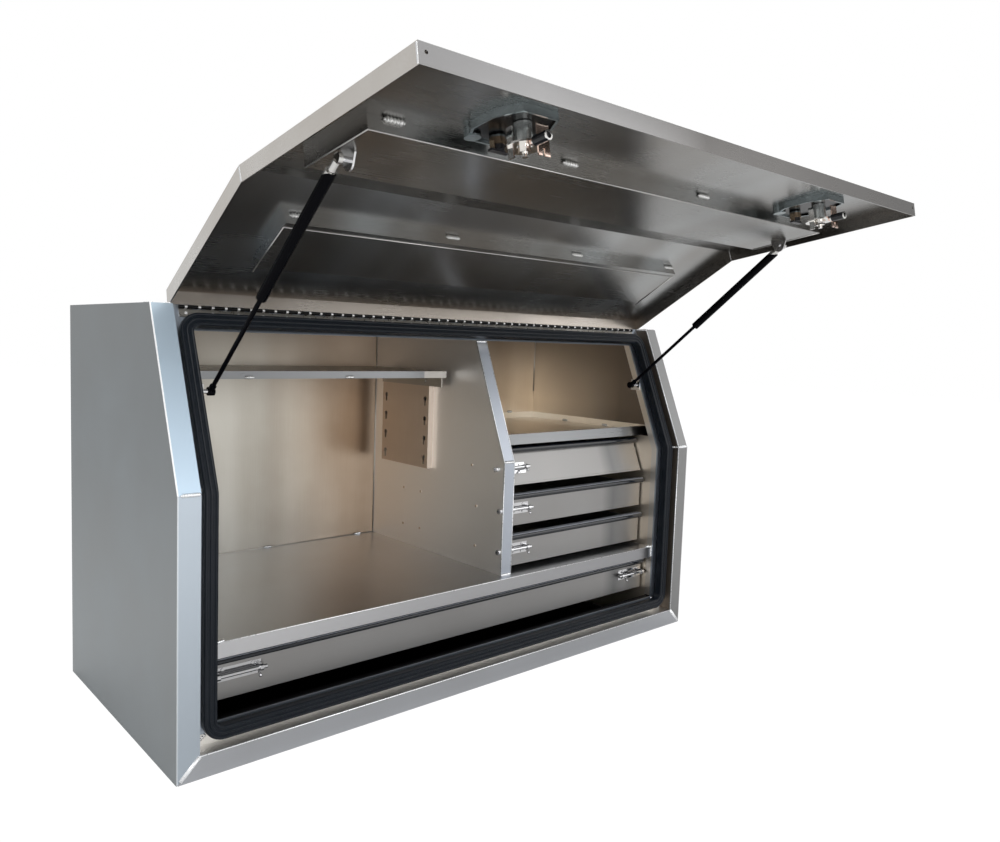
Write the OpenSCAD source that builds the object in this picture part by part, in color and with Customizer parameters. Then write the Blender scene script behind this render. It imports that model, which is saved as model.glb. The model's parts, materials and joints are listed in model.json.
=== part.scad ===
// Aluminium tool box for a work truck: a folded and welded sheet body with a
// knee in its front, one full-width lid on a piano hinge held up by two gas
// struts, a shelf, three small drawers and one full-width drawer below.
// Millimetres. The origin is the middle of the footprint, on the ground.
// -Y is the front, +X is to the right of someone who stands in front of it.

/* [Body] */
// Width over the side panels
box_w = 1400; // [1200:10:1800]
// Depth from the front flange to the back panel
box_d = 600; // [560:10:700]
// Height of the body
box_h = 803; // [780:1:900]
// Height of the knee where the front starts to lean back
knee_h = 489; // [480:1:500]
// How far the front leans back at the top
lean = 127; // [110:1:140]
// Thickness of the body sheet
sheet = 2.5; // [2:0.1:3]
// Width of the front flange round the opening
flange_w = 40; // [38:0.5:42]
// Depth of the channel in which the lid's rim lies
channel_d = 35; // [34:0.5:37]
// Distance from the side panel's outer face to the opening
jamb_w = 84; // [82:0.5:88]
// How far the jamb's inner lip runs back
lip_d = 20; // [12:1:22]
// Height of the opening's lower edge
sill_h = 76; // [74:0.5:80]
// Distance from the top down to the opening's upper edge
head_drop = 46; // [44:0.5:50]

/* [Rubber seal] */
// Width of the seal across its channel
seal_w = 24; // [20:0.5:24]
// Gap between the seal and the closed lid
seal_gap = 2.5; // [0.3:0.1:4]
// Radius of the seal's corners, at its middle line
seal_corner_r = 26; // [22:1:34]
// Radius of the seal's bend at the knee
seal_bend_r = 12; // [8:1:14]

/* [Lid] */
// How far the closed lid lies behind the front flange
lid_inset = 4; // [3:0.5:5]
// Gap between the lid's rim and the frame
lid_gap = 3; // [2:0.5:4]
// Depth of the lid's rim
rim_d = 27; // [24:0.5:28]
// How far the lid has swung open in the drawn position, in degrees
lid_open = 99.5; // [60:0.5:105]
// Depth of the two stiffening pans
pan_d = 22; // [12:1:23]

/* [Hinge] */
// Length of one knuckle
knuckle_l = 25; // [20:1:40]
// Outer radius of a knuckle
knuckle_r = 3.2; // [2.8:0.1:3.4]
// Radius of the hinge pin
pin_r = 1.5; // [1.2:0.1:1.8]
// Thickness of a hinge leaf
leaf_t = 1.5; // [1:0.1:1.6]
// Width of the hinge leaf on the body
leaf_w = 18; // [14:0.5:19]

/* [Inside] */
// Height of the compartment floor
floor_h = 214; // [208:1:220]
// Height of the compartment floor's front lip
floor_lip = 29; // [20:1:31]
// Distance from the front plane to the compartment floor's lip
floor_set = 42; // [39:0.5:46]
// Distance from the left side panel's outer face to the divider
divider_x = 783; // [700:1:800]
// Width of the divider's folded front edge
divider_edge = 31; // [24:1:34]
// How far the divider lies behind the front surface
divider_set = 66; // [62:1:70]
// Gap between the top drawer's pull and the upper shelf
upper_gap = 7; // [4:0.5:12]
// Height of the upper shelf's front upstand
upper_lip = 21; // [12:1:26]
// Distance from the top of the body down to the adjustable shelf
shelf_drop = 124; // [110:1:140]
// Distance from the front plane to the adjustable shelf's front edge
shelf_set = 270; // [240:1:300]

/* [Drawers] */
// Distance from the front plane to the small drawers' fronts
small_set = 86; // [84:1:90]
// Distance from the front plane to the large drawer's front
large_set = 70; // [68:1:74]
// Pitch of the small drawers
small_pitch = 96.5; // [94:0.5:98]
// Height of a small drawer's front
small_front_h = 62; // [56:1:64]
// Height of the large drawer's front
large_front_h = 66; // [58:1:70]
// Height of the large drawer's lower edge
large_low = 97; // [94:1:100]
// Gap between the compartment floor and the lowest small drawer
small_low_gap = 12; // [10:1:14]
// How far a drawer pulls out
drawer_travel = 450; // [300:10:460]
// Length of the drawers from front to back
tray_l = 470; // [460:5:490]
// Thickness of the drawer sheet
tray_t = 1.6; // [1.2:0.1:2]
// Width of a telescopic slide across its three members
slide_w = 13; // [12.5:0.1:13.5]
// Height of a telescopic slide
slide_h = 36; // [34:1:40]

/* [Gas struts] */
// Distance from the side panel's outer face to a strut's middle line
strut_x = 105; // [102:1:110]
// Radius of a strut's cylinder
strut_r = 9; // [8:0.5:9.5]
// Radius of a strut's rod
rod_r = 4; // [3:0.5:5]
// Length of a strut's cylinder
strut_l = 270; // [240:5:280]

/* [Locks] */
// Distance from the side panel's outer face to a lock's spindle
lock_x = 286; // [270:1:320]
// Distance from the knee down to a lock's spindle
lock_drop = 356; // [352:1:358]
// Width of a lock's dish
dish_w = 107; // [96:1:112]
// Height of a lock's dish
dish_h = 116; // [110:1:118]
// Distance from a lock's spindle up to its key barrel
barrel_up = 50; // [48:1:54]
// How far a lock's roller reaches down from its spindle
roller_reach = 54; // [48:1:54]

/* [Hidden] */

$fn = 48;
over = 1; // overrun of every cut
fit = 0.05; // radial clearance of a running fit
skim = 0.3; // gap between neighbours that don't touch
screw_head_r = 3;
screw_head_t = 1.6;

front = -box_d / 2;
rear = box_d / 2;
half_w = box_w / 2;
half_in = half_w - sheet;
half_jamb = half_w - jamb_w;
tilt = atan(lean / (box_h - knee_h));
head_z = box_h - head_drop;

// A point of the front surface, moved inward by v, at height z
function knee_z(v) = knee_h - v * tan(tilt / 2);
function surf_y(v, z) = front + v + max(0, z - knee_z(v)) * tan(tilt);
function surf(v, z) = [surf_y(v, z), z];
function knee_at(v) = [front + v, knee_z(v)];
function between(a, b, c) = a < b && b < c;

// Points of a strip of the front surface between the depths v0 and v1
function strip_points(v0, v1, z0, z1) = concat(
    [surf(v0, z0), surf(v1, z0)],
    between(z0, knee_z(v1), z1) ? [knee_at(v1)] : [],
    [surf(v1, z1), surf(v0, z1)],
    between(z0, knee_z(v0), z1) ? [knee_at(v0)] : []);

// Draws its children, a figure of Y and Z, from x0 to x1
module along_x(x0, x1) {
    translate([x0, 0, 0]) rotate([90, 0, 90]) linear_extrude(x1 - x0) children();
}

module strip(x0, x1, v0, v1, z0, z1) {
    along_x(x0, x1) polygon(strip_points(v0, v1, z0, z1));
}

// A box given by its low and high corners
module block(low, high) {
    translate(low) cube(high - low);
}

module both_sides() {
    children();
    mirror([1, 0, 0]) children();
}

// Frame on the leaning surface: Y runs inward, Z runs up the lean from the knee
module on_lean() {
    translate([0, front, knee_h]) rotate([-tilt, 0, 0]) children();
}

// Colours of the finishes
mill = "lightsteelblue";
flat_grey = "silver";
bright = "gainsboro";
rubber = [0.08, 0.09, 0.11];
black = [0.05, 0.05, 0.05];
cast = "slategray";
zinc = "wheat";

// Body panels

module side_panel() {
    color(mill) difference() {
        union() {
            along_x(half_in, half_w)
                polygon(concat([[rear, 0]], [[rear, box_h]], [surf(0, box_h)], [knee_at(0)], [[front, 0]]));
            strip(half_w - flange_w, half_w - sheet, 0, sheet, 0, box_h);
            strip(half_w - flange_w, half_w - flange_w + sheet, sheet, channel_d, flange_w - sheet, box_h);
        }
        flange_mitre();
    }
}

// Everything below the mitre line of the flange's lower corner
module flange_mitre() {
    translate([half_w, front - over, 0]) rotate([-90, 0, 0])
        linear_extrude(channel_d + over)
            polygon([[0, 0], [-flange_w, -flange_w], [-flange_w - over, -flange_w], [-flange_w - over, over],
                [0, over]]);
}

module side_panel_right() {
    side_panel();
}

module side_panel_left() {
    mirror([1, 0, 0]) side_panel();
}

module back_panel() {
    color(mill) block([-half_in, rear - sheet, sheet], [half_in, rear, box_h - sheet]);
}

module base_pan() {
    color(mill) {
        difference() {
            union() {
                block([-half_in, front + sheet, 0], [half_in, rear, sheet]);
                block([-half_in, front, 0], [half_in, front + sheet, flange_w]);
            }
            both_sides() base_mitre();
        }
        block([-half_w + flange_w, front + sheet, flange_w - sheet],
            [half_w - flange_w, front + channel_d, flange_w]);
    }
}

// Everything above the mitre line of the flange's lower corner
module base_mitre() {
    translate([half_w, front - over, 0]) rotate([-90, 0, 0])
        linear_extrude(sheet + over)
            polygon([[over, -over], [0, 0], [-flange_w, -flange_w], [-flange_w, -flange_w - over],
                [over, -flange_w - over]]);
}

// The top sheet folds down at its front into the strip that carries the hinge
module top_panel() {
    color(mill) {
        along_x(-half_in, half_in)
            polygon([surf(channel_d, box_h), surf(channel_d, box_h - sheet), [rear, box_h - sheet],
                [rear, box_h]]);
        strip(-half_jamb, half_jamb, channel_d, channel_d + sheet, head_z, box_h - sheet);
        strip(-half_jamb, half_jamb, channel_d + sheet, channel_d + lip_d, head_z, head_z + sheet);
        upstand_part("head");
    }
}

// The channel beside the opening, with the lip that runs back from it
module jamb_right() {
    color(mill) {
        strip(half_jamb, half_w - flange_w + sheet, channel_d, channel_d + sheet, flange_w, box_h - sheet);
        strip(half_jamb, half_jamb + sheet, channel_d + sheet, channel_d + lip_d, sill_h, box_h - sheet);
        upstand_part("jamb");
    }
}

module jamb_left() {
    mirror([1, 0, 0]) jamb_right();
}

// The channel below the opening
module sill() {
    color(mill) {
        block([-half_jamb, front + channel_d, flange_w], [half_jamb, front + channel_d + sheet, sill_h]);
        block([-half_jamb, front + channel_d + sheet, sill_h - sheet],
            [half_jamb, front + channel_d + lip_d, sill_h]);
        upstand_part("sill");
    }
}

// The ring round the opening, on which the seal is pushed. Its middle line is
// ring_x from the middle of the body and ring_low above the ground.
seal_share = 0.45;
ring_x = half_jamb + seal_w / 2 + (jamb_w - flange_w - seal_w) * seal_share;
ring_low = sill_h - seal_w / 2;
ring_bend_v = channel_d + seal_bend_r;
ring_top_z = head_z + seal_w / 2 + skim;
ring_top = (ring_top_z - knee_z(channel_d)) / cos(tilt) + channel_d * tan(tilt / 2);
bend_start = ring_bend_v * tan(tilt / 2);

// Right half of the ring: children are a figure whose X runs outward from the
// opening and whose Y runs forward from the channel's floor.
module ring_bottom() {
    translate([0, front + channel_d, ring_low]) rotate([90, 0, 90])
        linear_extrude(ring_x - seal_corner_r) mirror([1, 1, 0]) children();
}

module ring_side() {
    translate([ring_x, front + channel_d, ring_low + seal_corner_r])
        linear_extrude(knee_z(ring_bend_v) - ring_low - seal_corner_r) mirror([0, 1, 0]) children();
}

module ring_bend() {
    translate([ring_x, front + ring_bend_v, knee_z(ring_bend_v)]) rotate([0, -90, 0]) rotate([0, 0, -90])
        rotate_extrude(angle = tilt) translate([seal_bend_r, 0]) rotate(-90) children();
}

module ring_lean() {
    on_lean() translate([ring_x, channel_d, bend_start])
        linear_extrude(ring_top - seal_corner_r - bend_start) mirror([0, 1, 0]) children();
}

module ring_corner_low() {
    translate([ring_x - seal_corner_r, front + channel_d, ring_low + seal_corner_r]) rotate([90, 0, 0])
        rotate_extrude(angle = -90) translate([seal_corner_r, 0]) children();
}

module ring_corner_high() {
    on_lean() translate([ring_x - seal_corner_r, channel_d, ring_top - seal_corner_r]) rotate([90, 0, 0])
        rotate_extrude(angle = 90) translate([seal_corner_r, 0]) children();
}

module ring_head() {
    on_lean() translate([0, channel_d, ring_top]) rotate([90, 0, 90])
        linear_extrude(ring_x - seal_corner_r) mirror([1, -1, 0]) mirror([0, 1, 0]) children();
}

upstand_h = 14;

// Section of the upstand. Straight runs stand in the channel's floor, and the
// corners lie a hair above it.
module upstand_figure(foot = -sheet / 2) {
    translate([-sheet / 2, foot]) square([sheet, upstand_h - foot]);
}

module upstand_part(place) {
    both_or_one(place != "jamb") {
        if (place == "head") {
            ring_head() upstand_figure();
            ring_corner_high() upstand_figure(skim);
        }
        if (place == "jamb") {
            ring_side() upstand_figure();
            ring_bend() upstand_figure();
            ring_lean() upstand_figure();
        }
        if (place == "sill") {
            ring_bottom() upstand_figure();
            ring_corner_low() upstand_figure(skim);
        }
    }
}

module both_or_one(both) {
    children();
    if (both) mirror([1, 0, 0]) children();
}

// Section of the seal: a grip over the upstand and a ridged bulb in front
seal_h = channel_d - lid_inset - sheet - seal_gap;
seal_foot = skim;
ridge_r = seal_w / 8;

function arc(x, y, r, a0, a1, n) =
    [for (i = [0 : n]) let (a = a0 + (a1 - a0) * i / n) [x + r * cos(a), y + r * sin(a)]];

seal_outline = concat(
    [[-sheet / 2, seal_foot], [-sheet / 2, upstand_h], [sheet / 2, upstand_h], [sheet / 2, seal_foot]],
    [[seal_w / 4, seal_foot], [seal_w / 4, seal_h / 3]],
    [[seal_w / 2, seal_h / 2], [seal_w / 2, seal_h - ridge_r]],
    arc(seal_w / 2 - ridge_r, seal_h - ridge_r, ridge_r, 0, 160, 5),
    arc(0, seal_h - ridge_r, ridge_r, 20, 160, 4),
    arc(-seal_w / 2 + ridge_r, seal_h - ridge_r, ridge_r, 20, 180, 5),
    [[-seal_w / 2, seal_h / 3], [-seal_w / 4, seal_foot]]);

module seal_figure() {
    polygon(seal_outline);
}

module door_seal() {
    color(rubber) both_sides() {
        ring_bottom() seal_figure();
        ring_corner_low() seal_figure();
        ring_side() seal_figure();
        ring_bend() seal_figure();
        ring_lean() seal_figure();
        ring_corner_high() seal_figure();
        ring_head() seal_figure();
    }
}

// Fixed pieces inside

inner_rear = rear - sheet;

module compartment_floor() {
    low = floor_h - sheet;
    notch_y = front + channel_d + lip_d + skim;
    color(mill) {
        block([-half_jamb + skim, front + floor_set, low], [half_jamb - skim, notch_y + over, floor_h]);
        block([-half_in, notch_y, low], [half_in, inner_rear, floor_h]);
        block([-half_jamb + skim, front + floor_set, floor_h - floor_lip],
            [half_jamb - skim, front + floor_set + sheet, low]);
    }
}

divider_left = -half_w + divider_x;
divider_right = divider_left + sheet;
edge_right = divider_left + divider_edge;
bolt_r = 4;

module divider() {
    color(mill) difference() {
        union() {
            along_x(divider_left, divider_right)
                polygon([[inner_rear, floor_h], [inner_rear, box_h - sheet],
                    surf(divider_set, box_h - sheet), knee_at(divider_set), surf(divider_set, floor_h)]);
            strip(divider_right, edge_right, divider_set, divider_set + sheet, floor_h, head_z);
        }
        for (i = [1 : 3])
            translate([divider_left - over, small_latch_y(i), small_latch_z(i)]) rotate([0, 90, 0])
                cylinder(r = bolt_r + skim, h = sheet + 2 * over);
    }
}

upper_step = 16;
upper_set = divider_set + upper_step;

module upper_shelf() {
    low = upper_shelf_h - sheet;
    back_up = 18;
    color(mill) {
        along_x(divider_right, half_in)
            polygon([surf(upper_set, low), [inner_rear, low], [inner_rear, upper_shelf_h],
                surf(upper_set, upper_shelf_h)]);
        strip(divider_right, half_in, upper_set, upper_set + sheet,
            upper_shelf_h, upper_shelf_h + upper_lip);
        block([divider_right, inner_rear - sheet, upper_shelf_h],
            [half_in, inner_rear, upper_shelf_h + back_up]);
        block([half_in - sheet, surf_y(upper_set, upper_shelf_h) + 2 * sheet, upper_shelf_h],
            [half_in, inner_rear - sheet, upper_shelf_h + back_up]);
    }
}

// Panels that carry the drawer slides
module runner_panel(z0, z1) {
    fold = 22;
    v = channel_d + lip_d;
    difference() {
        union() {
            along_x(half_jamb, half_jamb + sheet)
                polygon(concat([[inner_rear, z1], [inner_rear, z0], surf(v, z0)],
                    between(z0, knee_z(v), z1) ? [knee_at(v)] : [], [surf(v, z1)]));
            strip(half_jamb + sheet, half_jamb + sheet + fold, v, v + sheet, z0, z1);
        }
        translate([half_jamb - over, large_latch_y, large_latch_z]) rotate([0, 90, 0])
            cylinder(r = bolt_r + skim, h = 2 * sheet + 2 * over);
    }
}

module runner_panels() {
    color(mill) {
        both_sides() runner_panel(sheet, floor_h - sheet);
        runner_panel(floor_h, upper_shelf_h - sheet);
    }
}

// Adjustable shelf. It lies on the upper ends of two plates with keyholes, and
// a bolt at each corner goes through its end tab and the plate.
shelf_z = box_h - shelf_drop;
shelf_bolt_r = 3;
shelf_bolt_drop = 27;
shelf_bolt_z = shelf_z - shelf_bolt_drop;
plate_front = 338;
plate_w = 202;
plate_l = 247;
plate_off = 15;
plate_top = shelf_z - sheet - skim;
hole_pitch = 50;
hole_up = 26;
hole_in = 16;
hole_r = 6;
slot_r = 3;
slot_l = 14;
plate_y0 = front + plate_front;
plate_y1 = plate_y0 + plate_w;
shelf_bolt_y = [plate_y0 + hole_in, plate_y1 - hole_in];

// A keyhole through a sheet that starts at X 0: its slot hangs from the round hole
module keyhole(y, z) {
    translate([-over, y, z]) rotate([0, 90, 0]) {
        cylinder(r = hole_r, h = sheet + 2 * over);
        translate([slot_l, 0, 0]) cylinder(r = slot_r, h = sheet + 2 * over);
        translate([0, -slot_r, 0]) cube([slot_l, 2 * slot_r, sheet + 2 * over]);
    }
}

module keyhole_plate() {
    z0 = plate_top - plate_l;
    difference() {
        union() {
            block([0, plate_y0, z0], [sheet, plate_y1, plate_top]);
            block([sheet, plate_y0, z0], [plate_off, plate_y0 + sheet, plate_top]);
            block([sheet, plate_y1 - sheet, z0], [plate_off, plate_y1, plate_top]);
        }
        for (y = shelf_bolt_y) {
            for (i = [0 : 3])
                keyhole(y, z0 + hole_up + i * hole_pitch);
            translate([-over, y, shelf_bolt_z]) rotate([0, 90, 0])
                cylinder(r = shelf_bolt_r + skim, h = sheet + 2 * over);
        }
    }
}

module keyhole_plates() {
    color(mill) {
        translate([divider_left - plate_off, 0, 0]) keyhole_plate();
        translate([-half_in + plate_off, 0, 0]) mirror([1, 0, 0]) keyhole_plate();
    }
}

shelf_d = 286;
shelf_lip = 16;
tab_h = 40;

module adjustable_shelf() {
    x0 = -half_in + plate_off + skim;
    x1 = divider_left - plate_off - skim;
    y0 = front + shelf_set;
    y1 = y0 + shelf_d;
    low = shelf_z - sheet;
    color(bright) {
        difference() {
            union() {
                block([x0, y0, low], [x1, y1, shelf_z]);
                block([x0, y0, shelf_z - shelf_lip], [x1, y0 + sheet, low]);
                block([x0, y1 - sheet, shelf_z - shelf_lip], [x1, y1, low]);
                block([x0, y0 + shelf_lip, shelf_z - tab_h], [x0 + sheet, y1 - shelf_lip, low]);
                block([x1 - sheet, y0 + shelf_lip, shelf_z - tab_h], [x1, y1 - shelf_lip, low]);
                block([x0 + tab_h, y0 + 2 * shelf_lip, low - shelf_lip / 2],
                    [x1 - tab_h, y0 + 4 * shelf_lip, low]);
            }
            for (y = shelf_bolt_y)
                translate([x0 - over, y, shelf_bolt_z]) rotate([0, 90, 0])
                    cylinder(r = shelf_bolt_r + skim, h = x1 - x0 + 2 * over);
        }
        for (y = shelf_bolt_y) {
            shelf_bolt(x1 - sheet, y);
            translate([x0 + x1, 0, 0]) mirror([1, 0, 0]) shelf_bolt(x1 - sheet, y);
        }
    }
}

// A bolt whose head lies inside the end tab, which starts at x
module shelf_bolt(x, y) {
    head_t = shelf_bolt_r;
    translate([x - head_t, y, shelf_bolt_z]) rotate([0, 90, 0]) {
        cylinder(r = 2 * shelf_bolt_r, h = head_t);
        cylinder(r = shelf_bolt_r, h = 2 * head_t + 2 * sheet + skim);
    }
}

// Hinge
pin_v = channel_d - knuckle_r - skim;
pin_z = box_h - knuckle_r - leaf_t / 2;
pin_y = surf_y(pin_v, pin_z);
pin_s = (pin_z - knee_z(pin_v)) / cos(tilt) + pin_v * tan(tilt / 2);
knuckles = 2 * floor((box_w - 2 * flange_w - 2 * knuckle_l) / (2 * knuckle_l)) + 1;
hinge_half = knuckles * knuckle_l / 2;
knuckle_gap = 0.4;
knuckle_free = 0.6;
knuckle_clear = knuckle_r + knuckle_free;

module knuckle(i) {
    translate([-hinge_half + i * knuckle_l + knuckle_gap / 2, 0, 0]) rotate([0, 90, 0])
        cylinder(r = knuckle_r, h = knuckle_l - knuckle_gap);
}

module at_pin() {
    translate([0, pin_y, pin_z]) children();
}

module pin_bore() {
    translate([-hinge_half - over, 0, 0]) rotate([0, 90, 0])
        cylinder(r = pin_r + fit, h = 2 * hinge_half + 2 * over, $fn = 32);
}

// The body's leaf lies on the head strip and hangs from the even knuckles
module body_hinge_leaf() {
    back = channel_d - pin_v;
    color(bright) at_pin() difference() {
        rotate([-tilt, 0, 0]) {
            block([-hinge_half, back - leaf_t, -leaf_w], [hinge_half, back, -knuckle_clear]);
            for (i = [0 : 2 : knuckles - 1]) {
                x = -hinge_half + i * knuckle_l;
                block([x + knuckle_gap / 2, back - leaf_t, -knuckle_clear],
                    [x + knuckle_l - knuckle_gap / 2, back, 0]);
                knuckle(i);
            }
        }
        pin_bore();
    }
}

module hinge_pin() {
    color(bright) at_pin() translate([-hinge_half, 0, 0]) rotate([0, 90, 0])
        cylinder(r = pin_r, h = 2 * hinge_half, $fn = 32);
}

rivet_r = 3;
rivet_t = 1.2;
rivet_top_share = 0.6;
body_rivet_share = 0.6;
lid_rivet_share = 0.7;

function knuckle_mid(i) = -hinge_half + (i + 1 / 2) * knuckle_l;

module rivet() {
    cylinder(r1 = rivet_r, r2 = rivet_r * rivet_top_share, h = rivet_t, $fn = 16);
}

module body_rivets() {
    color(bright) on_lean()
        for (i = [0 : 2 : knuckles - 1])
            translate([knuckle_mid(i), channel_d - leaf_t, pin_s - leaf_w * body_rivet_share])
                rotate([90, 0, 0]) rivet();
}

// Slides. Heights and places of the small drawers, of which the top one is 1
function small_low(i) = floor_h + small_low_gap + (3 - i) * small_pitch;
small_left = edge_right + skim;
small_slide_up = 40;
large_slide_up = 26;
lean_step = 20; // how far the top drawer starts behind the others
tray_start = 4 * tray_t; // where the slides start behind a drawer's front
slide_len = tray_l - 2 * tray_start;
slide_t = 1.4;
ball_gap = 0.8;

// Section of one member: a channel whose back lies at x0 and whose flanges reach x1
module member(x_back, x_open, h) {
    w = x_open - x_back;
    s = sign(w);
    difference() {
        translate([min(x_back, x_open), -h / 2]) square([abs(w), h]);
        translate([min(x_back, x_open) + (s > 0 ? slide_t : -over), -h / 2 + slide_t])
            square([abs(w) - slide_t + over, h - 2 * slide_t]);
    }
}

outer_share = 0.62;
middle_share = 0.72;
outer_open = slide_w * outer_share;
middle_back = slide_t + ball_gap;
middle_open = slide_w * middle_share;
inner_open = middle_back + slide_t + ball_gap;
middle_h = slide_h - 2 * slide_t - 2 * ball_gap;
inner_h = middle_h - 2 * slide_t - 2 * ball_gap;

module run_back(y0, y1) {
    translate([0, y1, 0]) rotate([90, 0, 0]) linear_extrude(y1 - y0) children();
}

module slide_outer(y0) { run_back(y0, y0 + slide_len) member(0, outer_open, slide_h); }
module slide_middle(y0) { run_back(y0, y0 + slide_len) member(middle_back, middle_open, middle_h); }
module slide_inner(y0) { run_back(y0, y0 + slide_len) member(slide_w, inner_open, inner_h); }

function drawer_start(i) = front + front_v(i) + tray_start + (i == 1 ? lean_step : 0);
function slide_z(i) = i == 4 ? large_low + large_slide_up : small_low(i) + small_slide_up;
function slide_left(i) = i == 4 ? -half_jamb : small_left;

// Places its children at both slides of drawer i: X runs from the panel to the tray
module at_slides(i) {
    translate([slide_left(i), 0, slide_z(i)]) children();
    translate([half_jamb, 0, slide_z(i)]) mirror([1, 0, 0]) children();
}

module slide_rails() {
    color(flat_grey) for (i = [1 : 4]) at_slides(i) slide_outer(drawer_start(i));
}

module slide_middles(i) {
    color(flat_grey) at_slides(i) slide_middle(drawer_start(i));
}

// Rails that carry the left slides of the small drawers off the divider, each
// held by three screws
spacer_screw_shares = [0.15, 0.63, 0.79];

module slide_spacers() {
    wall = sheet;
    reach = small_left - divider_right;
    color(mill) for (i = [1 : 3]) translate([divider_right, drawer_start(i), slide_z(i) - slide_h / 2]) {
        cube([wall, slide_len, slide_h]);
        translate([reach - wall, 0, 0]) cube([wall, slide_len, slide_h]);
        translate([wall, 0, 0]) cube([reach - 2 * wall, slide_len, wall]);
        translate([wall, 0, slide_h - wall]) cube([reach - 2 * wall, slide_len, wall]);
        for (a = spacer_screw_shares)
            translate([-sheet - screw_head_t, slide_len * a, slide_h / 2]) rotate([0, 90, 0])
                cylinder(r = screw_head_r, h = screw_head_t, $fn = 16);
    }
}

// Drawers
front_free = 5; // gap beside a drawer's front
small_free = 2; // gap between a small drawer's front and the divider's edge
top_extra = 11; // the leaning front is this much taller
tray_up = 3; // height of a tray's bottom over its front's lower edge
small_wall_h = 52;
large_wall_h = 58;
brace_low = 10; // how far the wall behind the front stops below the sides
function tray_x(i) = [slide_left(i) + slide_w + skim, half_jamb - slide_w - skim];
function front_x(i) = [slide_left(i) + (i == 4 ? front_free : small_free), half_jamb - front_free];
function front_h(i) = i == 4 ? large_front_h : i == 1 ? small_front_h + top_extra : small_front_h;
function front_low(i) = i == 4 ? large_low : small_low(i);
function front_v(i) = i == 4 ? large_set : small_set;
function wall_h(i) = i == 4 ? large_wall_h : small_wall_h;

// A folded tray with its front. The top drawer's front leans with the body.
module drawer_tray(i) {
    tx = tray_x(i);
    fx = front_x(i);
    z0 = front_low(i);
    z1 = z0 + front_h(i);
    b0 = z0 + tray_up;
    b1 = b0 + wall_h(i);
    y0 = front + front_v(i);
    ys = drawer_start(i) - 2 * tray_t;
    ye = y0 + tray_l + (i == 1 ? lean_step : 0);
    color(bright) {
        front_sheet(i, fx[0], fx[1], z0, z1);
        block([tx[0], y0 + tray_t, b0], [tx[1], ye, b0 + tray_t]);
        block([tx[0], ye - tray_t, b0 + tray_t], [tx[1], ye, b1]);
        block([tx[0], ys, b0 + tray_t], [tx[0] + tray_t, ye - tray_t, b1]);
        block([tx[1] - tray_t, ys, b0 + tray_t], [tx[1], ye - tray_t, b1]);
        block([tx[0], ys, b0 + tray_t], [tx[1], ys + tray_t, b1 - brace_low]);
        pull_edge(i, fx[0], fx[1], z1);
    }
}

module front_sheet(i, x0, x1, z0, z1) {
    y0 = front + front_v(i);
    if (i == 1)
        along_x(x0, x1) polygon([[y0, z0], [y0 + tray_t, z0], [y0 + tray_t + (z1 - z0) * tan(tilt), z1],
            [y0 + (z1 - z0) * tan(tilt), z1]]);
    else
        block([x0, y0, z0], [x1, y0 + tray_t, z1]);
}

function front_top_y(i) = front + front_v(i) + (i == 1 ? front_h(1) * tan(tilt) : 0);

trim_reach = 15;
small_trim_h = 13.5;
large_trim_h = 11;
trim_up = 1; // height of the nosing over the front's upper edge
trim_core_share = 0.7;
function trim_h(i) = i == 4 ? large_trim_h : small_trim_h;
function trim_out(i) = trim_reach * trim_h(i) / small_trim_h;
function core_out(i) = trim_out(i) * trim_core_share;
upper_shelf_h = small_low(1) + front_h(1) + trim_up + trim_h(1) + upper_gap + sheet;

// The front's upper edge, folded forward as the core of the rubber pull
module pull_edge(i, x0, x1, z1) {
    y1 = front_top_y(i) + tray_t;
    core = z1 + trim_h(i) / 2;
    block([x0, y1 - tray_t, z1], [x1, y1, core]);
    block([x0, y1 - core_out(i), core], [x1, y1, core + tray_t]);
}

// Rubber nosing pushed over the folded edge
module drawer_trim(i) {
    fx = front_x(i);
    z1 = front_low(i) + front_h(i) + trim_up;
    y1 = front_top_y(i) + tray_t;
    h = trim_h(i);
    r = h / 2;
    core = front_low(i) + front_h(i) + r;
    color(rubber) difference() {
        along_x(fx[0], fx[1]) {
            translate([y1 - trim_out(i) + r, z1]) square([trim_out(i) - r + tray_t, h]);
            translate([y1 - trim_out(i) + r, z1 + r]) circle(r = r, $fn = 24);
        }
        block([fx[0] - over, y1 - core_out(i) - skim, core], [fx[1] + over, y1, core + tray_t]);
        block([fx[0] - over, y1 - tray_t, z1 - over], [fx[1] + over, y1, core + tray_t]);
    }
}

// Latches
latch_l = 62;
large_latch_l = 92;
latch_plate_w = 26;
latch_plate_t = 1.2;
latch_stand = 9; // distance from a drawer's front to its bolt
large_latch_stand = latch_stand + over;
latch_set = 3; // gap from the front's end to the foot plate
latch_up = 41; // height of a small drawer's bolt over its front's lower edge
large_latch_up = 46;
loop_l = 7;
loop_in = 1;
screw_in = 17;
bolt_tip = 2.5; // how far a drawn bolt stands out of its guide
bolt_tail = 7.5;
knob_r = 2.2;
knob_l = 15;
knob_in = 11;

function small_latch_z(i) = small_low(i) + latch_up;
function small_latch_y(i) = front + small_set
    + (i == 1 ? latch_up * tan(tilt) - latch_stand / cos(tilt) : -latch_stand);
large_latch_y = front + large_set - large_latch_stand;
large_latch_z = large_low + large_latch_up;

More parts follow.
